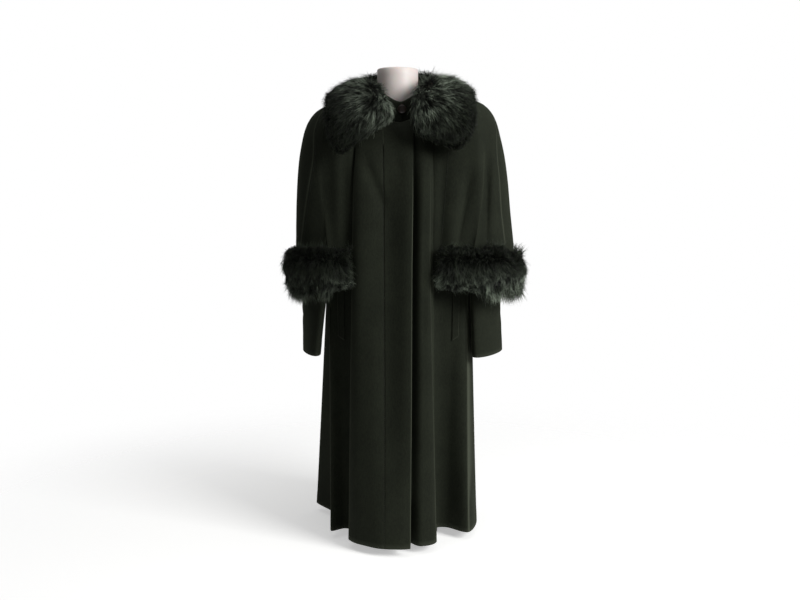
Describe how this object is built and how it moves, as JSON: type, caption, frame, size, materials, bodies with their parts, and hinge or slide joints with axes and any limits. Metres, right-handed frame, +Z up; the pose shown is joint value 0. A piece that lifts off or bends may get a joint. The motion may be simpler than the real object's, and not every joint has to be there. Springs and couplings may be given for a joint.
{
  "type": "loden cape coat on a dress form",
  "caption": "Long dark loden coat with an elbow-length cape, a rounded fur collar and fur bands on the cape's hem, closed at the front, on a limbless dress form with a round base.",
  "frame": {"origin": "centre of the flat underside of the dress form's round base, on the floor", "axes": "+Z up along the pole, the coat's front faces -Y, the wearer's left side is at +X"},
  "size_m": [0.6353, 0.4564, 1.2198],
  "materials": {
    "form_torso": "smooth pale moulded shell, satin",
    "form_pole": "brushed tube",
    "form_base": "satin grey enamel",
    "front_right": "felted wool loden with a short brushed nap, very dark green",
    "front_left": "felted wool loden with a short brushed nap, very dark green",
    "back": "felted wool loden with a short brushed nap, very dark green",
    "sleeve_right": "felted wool loden with a short brushed nap, very dark green",
    "sleeve_left": "felted wool loden with a short brushed nap, very dark green",
    "cape_front_right": "felted wool loden with a short brushed nap, very dark green",
    "cape_back": "felted wool loden with a short brushed nap, very dark green",
    "cape_front_left": "felted wool loden with a short brushed nap, very dark green",
    "fur_band_right": "long fox fur dyed very dark green, silver tips",
    "fur_band_back": "long fox fur dyed very dark green, silver tips",
    "fur_band_left": "long fox fur dyed very dark green, silver tips",
    "fur_collar_right": "long fox fur dyed very dark green, silver tips",
    "fur_collar_left": "long fox fur dyed very dark green, silver tips",
    "neck_band": "felted wool loden with a short brushed nap, very dark green",
    "neck_button": "polished dark horn look",
    "pocket_welt_right": "felted wool loden with a short brushed nap, very dark green",
    "pocket_welt_left": "felted wool loden with a short brushed nap, very dark green"
  },
  "bodies": {
    "root": {"form_torso": "form_torso", "form_pole": "form_pole", "form_base": "form_base", "front_right": "front_right", "front_left": "front_left", "back": "back", "sleeve_right": "sleeve_right", "sleeve_left": "sleeve_left", "cape_front_right": "cape_front_right", "cape_back": "cape_back", "cape_front_left": "cape_front_left", "fur_band_right": "fur_band_right", "fur_band_back": "fur_band_back", "fur_band_left": "fur_band_left", "fur_collar_right": "fur_collar_right", "fur_collar_left": "fur_collar_left", "neck_band": "neck_band", "neck_button": "neck_button", "pocket_welt_right": "pocket_welt_right", "pocket_welt_left": "pocket_welt_left"}
  },
  "joints": []
}
